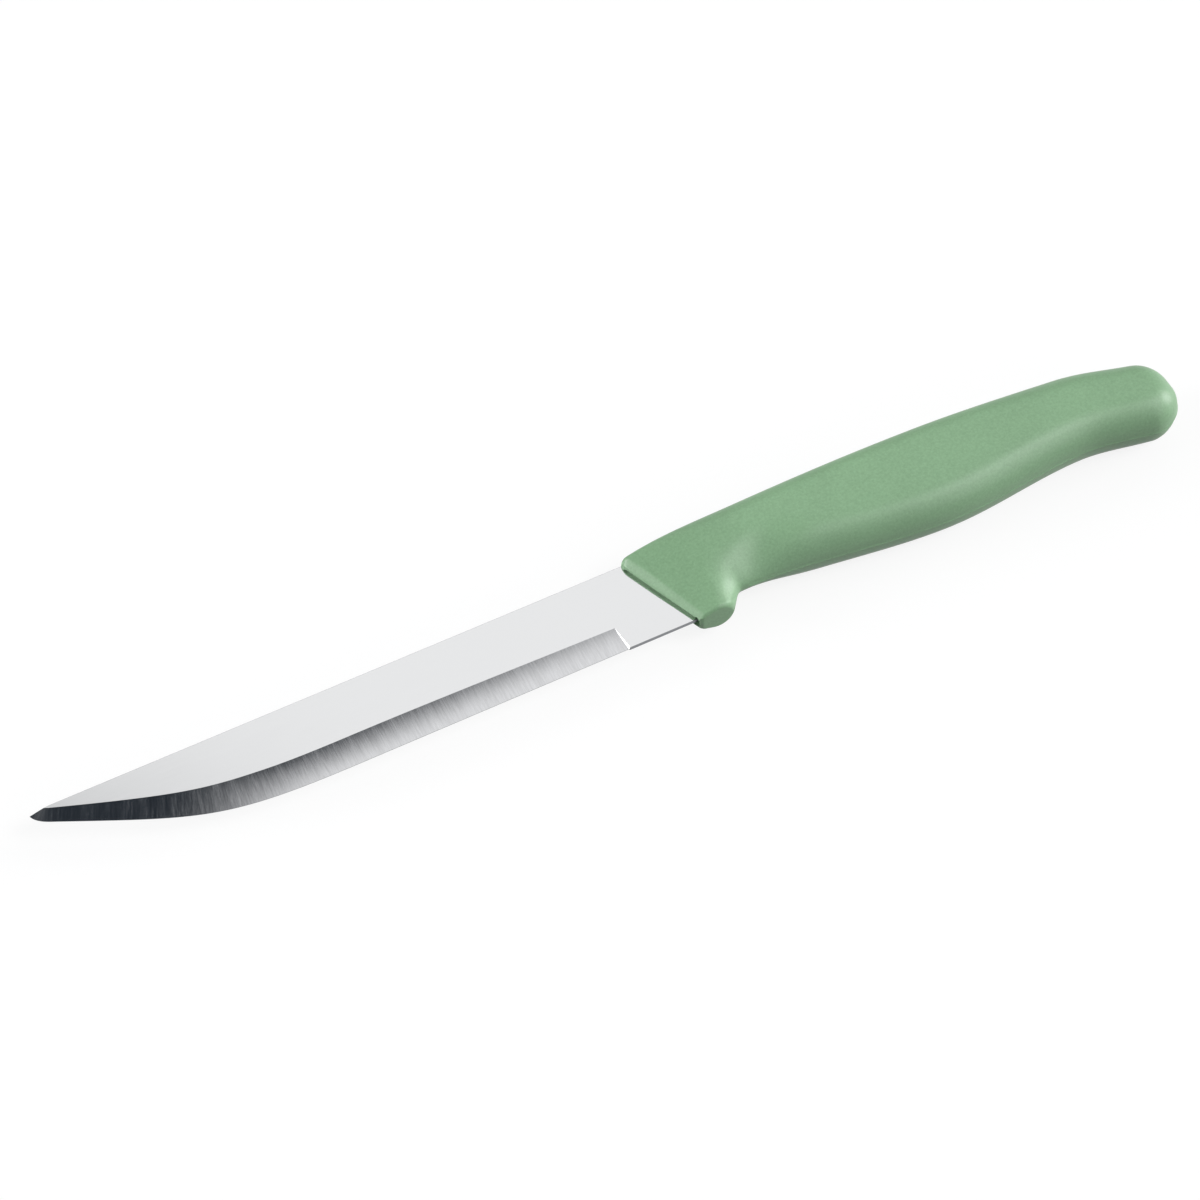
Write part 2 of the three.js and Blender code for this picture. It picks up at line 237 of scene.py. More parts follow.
BLADE_SMOOTH = math.radians(12)
HANDLE_SMOOTH = math.radians(35)
NARROW_TILT = 0.2  # a face of the blade that is steeper than this is a narrow edge of the strip

# How far off a point may be when it is picked by its place, and how close two points are made one.
NEAR = 0.01 * MM
ON_PLANE = 0.001 * MM
ON_SIDE = 0.0001 * MM
WELD = 0.002 * MM

PLASTIC_GRAIN = 0.45 * MM
PLASTIC_CLOUD = 14 * MM
PLASTIC_ROUGHNESS = (0.37, 0.47)
DRAWN_LINE = (9 * MM, 0.22 * MM, 0.22 * MM)
SATIN_ROUGHNESS = (0.07, 0.11)
TORN_LINE = (0.3 * MM, 0.3 * MM, 1.5 * MM)
SHEARED_ROUGHNESS = (0.38, 0.62)
SCRATCH = (0.4, 4.0, 1.0)  # along and across the edge, in millimetres like the map of the bevel
STREAK = (1.6, 9.0, 1.0)
GROUND_ROUGHNESS = (0.04, 0.15)
NOISE_RANGE = (0.3, 0.7)  # where most of the noise lies
STREAK_RANGE = (0.35, 0.65)  # the same for scratches and streaks together

FLOOR_SIZE = 6.0
FLOOR_GAP = 0.05 * MM
FLOOR_WHITE = 0.85  # share of the floor that is plain white, the rest shows the shadow
FLOOR_BOUNCE = 0.02
HOOD_AIM = (-0.4497, -0.011, 0.8931)  # from the knife to the middle of the dark hood
HOOD_EDGE = (0.763, 0.648)  # cosine of the angle to the hood's middle, where its edge starts and ends
HOOD_CLOTH = (0.83, 0.92)  # the same for the cloth inside the dark rim
HOOD_GLOW = 0.25  # what comes through the cloth
CEILING_EDGE = (0.5, 0.65)  # sine of the height where the walls end, and the ceiling and the panel start
PANEL_SIDE = (-0.15, 0.1)  # where the panel starts towards the back
WALLS = 0x74767A
CEILING = 0x32383F
# Azimuth from the back over the right, elevation and half width in degrees, and strength.
SOFTBOXES = (
    (98, 14, 20, 11.8),
    (148, 24, 16, 4.4),
    (130, 52, 18, 8.6),
    (290, 12, 18, 18.0),
    (278, 38, 17, 0.9),
)
CAMERA_TARGET = Vector((-6.086, -4.498, 0)) * MM
CAMERA_LENS = 112.53
CAMERA_SENSOR = 36
CAMERA_CLIP = 0.01


def clamp(value):
    return min(max(value, 0.0), 1.0)


def lerp(start, end, share):
    return start + (end - start) * share


def smooth_step(value, low, high):
    share = clamp((value - low) / (high - low))
    return share * share * (3 - 2 * share)


def smooth_height(points):
    """A height over x through the points, with no overshoot: level at each highest and lowest one."""
    slopes = [(b[1] - a[1]) / (b[0] - a[0]) for a, b in zip(points, points[1:])]

    def tangent(i):
        before = slopes[max(i - 1, 0)]
        after = slopes[min(i, len(slopes) - 1)]
        return 0.0 if before * after <= 0 else 2 * before * after / (before + after)

    def height(x):
        i = 0
        while i < len(slopes) - 1 and x > points[i + 1][0]:
            i += 1
        run = points[i + 1][0] - points[i][0]
        u = clamp((x - points[i][0]) / run)
        rise = u * u * (3 - 2 * u)
        leave = u * (1 - u) ** 2 * run * tangent(i)
        arrive = u * u * (u - 1) * run * tangent(i + 1)
        return points[i][1] * (1 - rise) + points[i + 1][1] * rise + leave + arrive

    return height


def soft_least(first, second, blend):
    """The smaller of two values, with a smooth change from one to the other."""
    share = clamp(0.5 + (second - first) / (2 * blend))
    return lerp(second, first, share) - blend * share * (1 - share)


def rounded_end(distance, radius, power=2.0):
    """Share of full size at a distance in from a rounded end. A power below 2 makes it more of a cone."""
    inside = clamp(1 - distance / radius)
    return (1 - inside**power) ** (1 / power)


def drawing_origin(context):
    """Where the front of the handle crosses the spine, on the mid-plane of the blade."""
    sizes = context.scene.knife_blade
    return Vector((blade_low.x + sizes.length, blade_high.y, (blade_low.z + blade_high.z) / 2))


def start_piece(name, materials=()):
    """An empty mesh at the origin with its finishes, in edit mode."""
    bpy.ops.object.select_all(action="DESELECT")
    bpy.ops.object.add(type="MESH", enter_editmode=True, location=(0, 0, 0))
    piece = bpy.context.object
    piece.name = name
    piece.data.name = name
    for material in materials:
        piece.data.materials.append(material)
    return piece


def select_where(piece, kind, test):
    """Selects the visible vertices, edges or faces that pass a test, and nothing else."""
    bpy.ops.mesh.select_mode(type=kind)
    shape = bmesh.from_edit_mesh(piece.data)
    items = {"VERT": shape.verts, "EDGE": shape.edges, "FACE": shape.faces}[kind]
    for item in items:
        item.select_set(False)
    found = 0
    for item in items:
        if not item.hide and test(item):
            item.select_set(True)
            found += 1
    shape.select_flush_mode()
    bmesh.update_edit_mesh(piece.data)
    if not found:
        raise RuntimeError(f"{piece.name}: nothing to select for the next step")


def cut_away(piece, cutter):
    """Takes the cutter's solid out of the piece and removes the cutter."""
    bpy.ops.object.select_all(action="DESELECT")
    bpy.context.view_layer.objects.active = piece
    piece.select_set(True)
    cut = piece.modifiers.new("cut", "BOOLEAN")
    cut.operation = "DIFFERENCE"
    cut.solver = "EXACT"
    cut.object = cutter
    bpy.ops.object.modifier_apply(modifier=cut.name)
    bpy.data.objects.remove(cutter)


def keep_piece(piece, node):
    """Puts the finished piece in the frame in place of its CAD node."""
    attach(piece, "root")
    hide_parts(node)


def add_node(tree, kind, inputs=None, **settings):
    """Adds a node, sets its own settings, and sets or links its inputs by name or number."""
    node = tree.nodes.new(kind)
    for name, value in settings.items():
        setattr(node, name, value)
    for key, value in (inputs or {}).items():
        if isinstance(value, bpy.types.NodeSocket):
            tree.links.new(value, node.inputs[key])
        else:
            node.inputs[key].default_value = value
    return node


def new_material(name):
    """A node material with nothing in it but its output."""
    material = bpy.data.materials.new(name)
    material.use_nodes = True
    tree = material.node_tree
    tree.nodes.clear()
    return material, tree


def noise(tree, place, sizes, detail, roughness=0.5):
    """Noise with grains of the given sizes along the three axes."""
    scaled = add_node(tree, "ShaderNodeMapping", {"Vector": place, "Scale": [1 / size for size in sizes]})
    inputs = {"Vector": scaled.outputs["Vector"], "Scale": 1.0, "Detail": detail, "Roughness": roughness}
    return add_node(tree, "ShaderNodeTexNoise", inputs).outputs["Fac"]


def remap(tree, value, low, high, start=0.0, end=1.0, interpolation="LINEAR"):
    """A value moved from one range to another and held inside it."""
    inputs = {"Value": value, "From Min": low, "From Max": high, "To Min": start, "To Max": end}
    node = add_node(tree, "ShaderNodeMapRange", inputs, interpolation_type=interpolation)
    return node.outputs["Result"]


def combine(tree, operation, first, second):
    """Two values put together by one operation."""
    return add_node(tree, "ShaderNodeMath", {0: first, 1: second}, operation=operation).outputs["Value"]


def between(tree, share, first, second):
    """A value between two others."""
    return add_node(tree, "ShaderNodeMix", {0: share, 2: first, 3: second}, data_type="FLOAT").outputs[0]


def blend(tree, share, first, second):
    """A colour between two others."""
    inputs = {0: share, 6: (*first, 1.0), 7: (*second, 1.0)}
    return add_node(tree, "ShaderNodeMix", inputs, data_type="RGBA").outputs[2]


def shades(colour, spread):
    """A darker and a lighter shade of a colour."""
    return [v * (1 - spread) for v in colour], [min(v * (1 + spread), 1.0) for v in colour]


def relief(tree, height, strength, depth):
    """The normal of a surface with a fine relief."""
    inputs = {"Height": height, "Strength": strength, "Distance": depth}
    return add_node(tree, "ShaderNodeBump", inputs).outputs["Normal"]


def surface(material, inputs):
    """Ends a material in one shader."""
    tree = material.node_tree
    shader = add_node(tree, "ShaderNodeBsdfPrincipled", inputs)
    add_node(tree, "ShaderNodeOutputMaterial", {"Surface": shader.outputs["BSDF"]})
    return material


def moulded_polypropylene(colours):
    """Polypropylene from a finely eroded mould: even colour, soft satin gloss and a fine dull grain."""
    material, tree = new_material("moulded_polypropylene")
    place = add_node(tree, "ShaderNodeTexCoord").outputs["Object"]
    # The eroded grain is about 0.1 mm. It is drawn coarser, so that it shows in the render.
    grain = noise(tree, place, [PLASTIC_GRAIN] * 3, detail=3.0, roughness=0.7)
    cloud = noise(tree, place, [PLASTIC_CLOUD] * 3, detail=2.0)
    mottle = between(tree, 0.75, cloud, grain)
    return surface(
        material,
        {
            "Base Color": blend(tree, remap(tree, mottle, *NOISE_RANGE), *shades(colours.plastic, 0.16)),
            "Roughness": remap(tree, grain, *NOISE_RANGE, *PLASTIC_ROUGHNESS),
            "Normal": relief(tree, grain, strength=0.5, depth=0.04 * MM),
            "IOR": 1.52,
        },
    )


def satin_stainless_steel(colours):
    """Stainless strip, finely polished along the blade: a clear but soft reflection with a faint
    drawn grain."""
    material, tree = new_material("satin_stainless_steel")
    place = add_node(tree, "ShaderNodeTexCoord").outputs["Object"]
    # The drawn lines are some hundredths of a millimetre wide. They are drawn coarser, so that they show.
    line = noise(tree, place, DRAWN_LINE, detail=3.0, roughness=0.6)
    return surface(
        material,
        {
            "Base Color": (*colours.steel, 1.0),
            "Metallic": 1.0,
            "Roughness": remap(tree, line, *NOISE_RANGE, *SATIN_ROUGHNESS),
            "Normal": relief(tree, line, strength=0.05, depth=0.01 * MM),
        },
    )


def cross_ground_stainless_steel(colours):
    """Stainless bevel straight from the wheel: scratches from the grind line to the edge, so that the
    reflection smears along the edge and breaks up in fine streaks."""
    material, tree = new_material("cross_ground_stainless_steel")
    place = add_node(tree, "ShaderNodeUVMap", uv_map="grind").outputs["UV"]
    # The scratches are some hundredths of a millimetre wide. They are drawn in bundles of two widths,
    # so that they show in the render.
    scratch = noise(tree, place, SCRATCH, detail=4.0, roughness=0.7)
    streak = noise(tree, place, STREAK, detail=2.0)
    both = between(tree, 0.4, scratch, streak)
    along = add_node(tree, "ShaderNodeTangent", direction_type="UV_MAP", uv_map="grind")
    return surface(
        material,
        {
            "Base Color": blend(tree, remap(tree, both, *STREAK_RANGE), *shades(colours.ground, 0.14)),
            "Metallic": 1.0,
            "Roughness": remap(tree, both, *STREAK_RANGE, *GROUND_ROUGHNESS),
            "Normal": relief(tree, both, strength=0.5, depth=0.01 * MM),
            "Tangent": along.outputs["Tangent"],
            "Anisotropic": 0.3,
        },
    )


def sheared_steel_and_painted_shade(colours):
    """Narrow edge where the press cut the strip, with fine torn lines through the thickness: dull grey, and
    darker still as painted shade.
    """
    material, tree = new_material("sheared_steel_and_painted_shade")
    place = add_node(tree, "ShaderNodeTexCoord").outputs["Object"]
    # The torn lines are about 0.1 mm wide. They are drawn coarser, so that they show in the render.
    tear = noise(tree, place, TORN_LINE, detail=3.0)
    return surface(
        material,
        {
            # Painted shade: this grey is darker than the sheared steel's own, so that the narrow edges look
            # as if they reflected a shadowed floor.
            "Base Color": (*colours.sheared_and_painted_shade, 1.0),
            "Metallic": 1.0,
            "Roughness": remap(tree, tear, 0.0, 1.0, *SHEARED_ROUGHNESS),
            "Normal": relief(tree, tear, strength=0.4, depth=0.03 * MM),
        },
    )


def matt_white_floor(colour):
    """Matt white paper. The camera, reflections and transmission see it as white with a faint shadow.
    Diffuse light finds it almost black, so that it doesn't light the handle from below."""
    material, tree = new_material("matt_white_floor")
    path = add_node(tree, "ShaderNodeLightPath").outputs
    seen = combine(tree, "MAXIMUM", path["Is Camera Ray"], path["Is Glossy Ray"])
    seen = combine(tree, "MAXIMUM", seen, path["Is Transmission Ray"])
    dark = add_node(tree, "ShaderNodeBsdfDiffuse", {"Color": (FLOOR_BOUNCE, FLOOR_BOUNCE, FLOOR_BOUNCE, 1.0)})
    pale = add_node(tree, "ShaderNodeBsdfDiffuse", {"Color": (*colour, 1.0)})
    paper = add_node(
        tree, "ShaderNodeMixShader", {0: seen, 1: dark.outputs["BSDF"], 2: pale.outputs["BSDF"]}
    )
    white = add_node(tree, "ShaderNodeEmission", {"Color": (1.0, 1.0, 1.0, 1.0), "Strength": 1.0})
    share = combine(tree, "MULTIPLY", seen, FLOOR_WHITE)
    mix = add_node(
        tree, "ShaderNodeMixShader", {0: share, 1: paper.outputs["Shader"], 2: white.outputs["Emission"]}
    )
    add_node(tree, "ShaderNodeOutputMaterial", {"Surface": mix.outputs["Shader"]})
    return material


def light_tent(tree):
    """A bright panel behind the knife, a dark hood over it on the left, whose edge the bevel shows as a
    change from light to dark, and softboxes for the handle, in a room with grey walls and a dark ceiling,
    so that the steel is never black from low down."""
    way = add_node(tree, "ShaderNodeTexCoord").outputs["Generated"]
    place = add_node(tree, "ShaderNodeSeparateXYZ", {0: way}).outputs

    def towards(aim):
        node = add_node(tree, "ShaderNodeVectorMath", {0: way, 1: aim}, operation="DOT_PRODUCT")
        return node.outputs["Value"]

    def fade(value, low, high, end=1.0):
        return remap(tree, value, low, high, end=end, interpolation="SMOOTHSTEP")

    hood = towards(HOOD_AIM)
    up = fade(place["Z"], *CEILING_EDGE)
    level = combine(tree, "MULTIPLY", fade(hood, *HOOD_EDGE), up)
    level = combine(tree, "MULTIPLY", level, fade(place["Y"], *PANEL_SIDE))
    level = combine(tree, "ADD", level, fade(hood, *HOOD_CLOTH, HOOD_GLOW))
    for *angles, strength in SOFTBOXES:
        azimuth, elevation, spread = (math.radians(degrees) for degrees in angles)
        aim = Vector((math.sin(azimuth), math.cos(azimuth), 0)) * math.cos(elevation)
        aim.z = math.sin(elevation)
        level = combine(tree, "ADD", level, fade(towards(aim), math.cos(spread), 1.0, strength))
    lamps = add_node(tree, "ShaderNodeBackground", {"Color": (1.0, 1.0, 1.0, 1.0), "Strength": level})
    walls = blend(tree, up, linear(WALLS), linear(CEILING))
    room = add_node(tree, "ShaderNodeBackground", {"Color": walls, "Strength": 1.0})
    light = add_node(
        tree, "ShaderNodeAddShader", {0: lamps.outputs["Background"], 1: room.outputs["Background"]}
    )
    add_node(tree, "ShaderNodeOutputWorld", {"Surface": light.outputs["Shader"]})


def blade_columns(sizes):
    """Lines across the blade from the handle to the tip. Each is where it meets the edge, the way in,
    how far it is to the spine, how high the grind is there, and the distance along the edge."""
    tip = Vector((-sizes.length, -BLADE_TIP_DROP))
    clip_start = Vector((tip.x + BLADE_TIP_CLIP, 0))
    round_start = tip + BLADE_TIP_ROUND
    sweep_start = Vector((tip.x + sizes.sweep_length, -sizes.width))
    sweep_way = Vector((math.cos(sizes.sweep_angle), -math.sin(sizes.sweep_angle)))
    sweep_out = sweep_start - Vector((BLADE_BELLY_TANGENT, 0))
    sweep_in = round_start + sweep_way * BLADE_SWEEP_TANGENT
    tip_control = round_start + sweep_way * BLADE_TIP_ROUND.y
    grind = smooth_height(
        [
            (tip.x, sizes.grind_height_tip),
            (tip.x + GRIND_TAPER, sizes.grind_height),
            (sweep_start.x, sizes.grind_height),
            (-sizes.grind_start, sizes.grind_height_heel),
        ]
    )
    heel = Vector((-sizes.grind_start + sizes.grind_height_heel * math.tan(GRIND_END_SLANT), -sizes.width))

    def to_spine(at, way):
        """How far it is from the edge to the spine, or to the short slope at the tip."""
        level = -at.y / way.y if way.y > 0 else 1.0
        along = clip_start - tip
        square = Vector((-along.y, along.x))
        slope = (tip - at).dot(square) / way.dot(square)
        return max(min(level, slope), 0.0)

    places = []
    for step in range(STRAIGHT_COLUMNS):
        places.append((heel.lerp(sweep_start, step / STRAIGHT_COLUMNS), Vector((-1, 0))))
    for step in range(SWEEP_COLUMNS):
        u = step / SWEEP_COLUMNS
        rest = 1 - u
        at = sweep_start * rest**3 + sweep_out * 3 * rest**2 * u
        at += sweep_in * 3 * rest * u**2
        at += round_start * u**3
        way = (sweep_out - sweep_start) * rest**2 + (sweep_in - sweep_out) * 2 * rest * u
        way += (round_start - sweep_in) * u**2
        places.append((at, way.normalized()))
    for step in range(TIP_COLUMNS + 1):
        u = step / TIP_COLUMNS
        rest = 1 - u
        at = round_start * rest**2 + tip_control * 2 * rest * u + tip * u**2
        way = (tip_control - round_start) * rest + (tip - tip_control) * u
        places.append((at, way.normalized()))

    columns = []
    travelled = 0.0
    for number, (at, way) in enumerate(places):
        if number:
            travelled += (at - places[number - 1][0]).length
        inward = Vector((way.y, -way.x))
        columns.append((at, inward, to_spine(at, inward), grind(at.x), travelled))
    return columns


class KNIFE_OT_blade(bpy.types.Operator):
    """Model the stamped blade with its hollow grind and its tang"""

    bl_idname = "knife.blade"
    bl_label = "Ground blade"

    def execute(self, context):
        sizes = context.scene.knife_blade
        handle = context.scene.knife_handle
        origin = drawing_origin(context)
        slant = math.tan(handle.front_slant)
        half = sizes.thickness / 2
        edge_half = sizes.edge_thickness / 2
        guard_y = -sizes.width - handle.guard_drop
        tang_bottom = guard_y + handle.recess_depth + TANG_UNDER_COVER
        tang_end = handle.length - TANG_END_COVER
        columns = blade_columns(sizes)
        shares = [row / HOLLOW_ROWS for row in range(HOLLOW_ROWS + 1)]
        sweep_x = sizes.sweep_length - sizes.length

        def hollow(share, height, x):
            """Half thickness of the bevel. It is hollow along the straight edge and flatter to the tip."""
            chord = edge_half + (half - edge_half) * share
            depth = lerp(1.0, TIP_HOLLOW, smooth_step(-x, -sweep_x, HOLLOW_FADE - sweep_x))
            return chord - depth * share * (1 - share) * height**2 / (2 * sizes.wheel_radius)

        lines = []
        under_tang = tang_bottom + sizes.width
        over_tang = sizes.width - TANG_DROP
        insets = [share * under_tang for share in shares]
        insets += [(under_tang + over_tang) / 2, over_tang, sizes.width]
        shoulder = []
        before_grind = -SHOULDER_DEPTH - sizes.grind_start
        for inset in insets:
            y = inset - sizes.width
            shoulder.append((Vector((SHOULDER_DEPTH - slant * y, y, half)), before_grind, inset))
        lines.append(shoulder)
        heel, _, _, heel_height, _ = columns[0]
        insets = [share * heel_height for share in shares]
        insets += [lerp(heel_height, sizes.width, share) for share in FLAT_SHARES]
        plunge_top = []
        plunge_foot = []
        plunge_end = []
        for row, inset in enumerate(insets):
            x = heel.x - math.tan(GRIND_END_SLANT) * inset
            y = inset - sizes.width
            z = hollow(shares[row], heel_height, x) if row <= HOLLOW_ROWS else half
            plunge_top.append((Vector((x, y, half)), 0.0, inset))
            foot_x = x - PLUNGE_RUN * (half - z)
            plunge_foot.append((Vector((foot_x, y, z)), 0.0, inset))
            plunge_end.append((Vector((foot_x - PLUNGE_FOOT, y, z)), PLUNGE_FOOT, inset))
        lines += [plunge_top, plunge_foot, plunge_end]
        for at, inward, reach, height, travelled in columns[1:]:
            line = []
            for share in shares:
                inset = min(share * height, reach)
                place = at + inward * inset
                z = hollow(inset / height, height, at.x)
                line.append((Vector((place.x, place.y, z)), travelled, inset))
            top = hollow(min(reach / height, 1.0), height, at.x)
            for share in FLAT_SHARES:
                inset = lerp(min(height, reach), reach, share)
                place = at + inward * inset
                line.append((Vector((place.x, place.y, top)), travelled, inset))
            lines.append(line)

        # One side of the blade: a grid laid over it, each line of the grid set across the blade.
        colours = context.scene.knife_colours
        finishes = (satin_stainless_steel, cross_ground_stainless_steel, sheared_steel_and_painted_shade)
        piece = start_piece("ground_blade", [finish(colours) for finish in finishes])
        row_count = len(lines[0])
        bpy.ops.mesh.primitive_grid_add(
            x_subdivisions=len(lines) - 1, y_subdivisions=row_count - 1, size=sizes.width, location=origin
        )
        bpy.ops.object.mode_set(mode="OBJECT")
        mesh = piece.data
        if len(mesh.vertices) != len(lines) * row_count:
            raise RuntimeError("the grid of the blade has another number of points than its lines")
        on_grid = [(index % len(lines), index // len(lines)) for index in range(len(mesh.vertices))]
        for vertex, (column, row) in zip(mesh.vertices, on_grid):
            vertex.co = origin + lines[column][row][0]
        grind_map = mesh.uv_layers.active or mesh.uv_layers.new()
        grind_map.name = "grind"
        for loop in mesh.loops:
            column, row = on_grid[loop.vertex_index]
            _, travelled, inset = lines[column][row]
            grind_map.data[loop.index].uv = (travelled / MM, inset / MM)
        for face in mesh.polygons:
            spots = [on_grid[vertex] for vertex in face.vertices]
            past_plunge = min(column for column, _ in spots) >= BEVEL_COLUMN
            ground = past_plunge and max(row for _, row in spots) <= HOLLOW_ROWS
            face.material_index = 1 if ground else 0
        for edge in mesh.edges:
            (column_a, row_a), (column_b, row_b) = (on_grid[vertex] for vertex in edge.vertices)
            on_line = row_a == row_b == HOLLOW_ROWS and min(column_a, column_b) >= BEVEL_COLUMN
            on_plunge = column_a == column_b == PLUNGE_COLUMN and max(row_a, row_b) <= HOLLOW_ROWS
            edge.use_edge_sharp = on_line or on_plunge

        # Tang: the middle of the shoulder drawn out into the handle, with a round end.
        bpy.ops.object.mode_set(mode="EDIT")
        upper = origin.z + half
        tang_low = origin.y + tang_bottom - NEAR
        tang_high = origin.y - TANG_DROP + NEAR

        def on_shoulder(v):
            behind = v.co.x - origin.x - SHOULDER_DEPTH + slant * (v.co.y - origin.y)
            return tang_low < v.co.y < tang_high and abs(behind) < NEAR

        select_where(piece, "EDGE", lambda e: e.is_boundary and all(on_shoulder(v) for v in e.verts))
        bpy.ops.mesh.extrude_region_move(TRANSFORM_OT_translate={"value": (tang_end / 2, 0, 0)})
        bpy.ops.transform.resize(value=(0, 1, 1), center_override=(origin.x + tang_end, origin.y, upper))
        tang_middle = (tang_low + tang_high) / 2
        select_where(
            piece,
            "VERT",
            lambda v: v.co.x > origin.x + tang_end - NEAR and abs(v.co.y - tang_middle) > TANG_CORNER_OFF,
        )
        round_end = (tang_high - tang_low) / 2 - TANG_END_FLAT
        bpy.ops.mesh.bevel(
            offset=round_end, segments=TANG_SEGMENTS, profile=0.5, affect="VERTICES", clamp_overlap=False
        )

        # Walls down to the mid-plane, then the other side as a mirror image.
        bpy.ops.mesh.select_all(action="SELECT")
        bpy.ops.mesh.remove_doubles(threshold=WELD)
        select_where(piece, "EDGE", lambda e: e.is_boundary)
        bpy.ops.mesh.extrude_region_move(TRANSFORM_OT_translate={"value": (0, 0, 0)})
        bpy.ops.transform.resize(value=(1, 1, 0), center_override=origin)
        bpy.ops.mesh.select_all(action="SELECT")
        bpy.ops.mesh.duplicate()
        bpy.ops.transform.resize(value=(1, 1, -1), center_override=origin)
        bpy.ops.mesh.select_all(action="SELECT")
        bpy.ops.mesh.remove_doubles(threshold=WELD)
        bpy.ops.mesh.normals_make_consistent(inside=False)

        # The stamped edges along the spine are lightly broken.
        break_end = origin.x - sizes.length + BLADE_TIP_CLIP + SPINE_BREAK_END

        def on_spine(v):
            on_corner = abs(v.co.y - origin.y) < WELD and abs(abs(v.co.z - origin.z) - half) < WELD
            return on_corner and v.co.x > break_end

        select_where(piece, "EDGE", lambda e: all(on_spine(v) for v in e.verts))
        bpy.ops.mesh.bevel(offset=SPINE_BREAK, segments=SPINE_SEGMENTS, profile=0.5, affect="EDGES")
        bpy.ops.object.mode_set(mode="OBJECT")

        pins = start_piece("tang_hole_cutter")
        for place in TANG_HOLES:
            bpy.ops.mesh.primitive_cylinder_add(
                vertices=TANG_HOLE_SIDES,
                radius=TANG_HOLE_RADIUS,
                depth=TANG_HOLE_CUTTER * sizes.thickness,
                location=(origin.x + place, tang_middle, origin.z),
            )
        bpy.ops.object.mode_set(mode="OBJECT")
        cut_away(piece, pins)
        bpy.ops.object.shade_smooth_by_angle(angle=BLADE_SMOOTH, keep_sharp_edges=True)
        for face in piece.data.polygons:
            if abs(face.normal.z) < NARROW_TILT:
                face.material_index = 2
        keep_piece(piece, "blade")
        return {"FINISHED"}


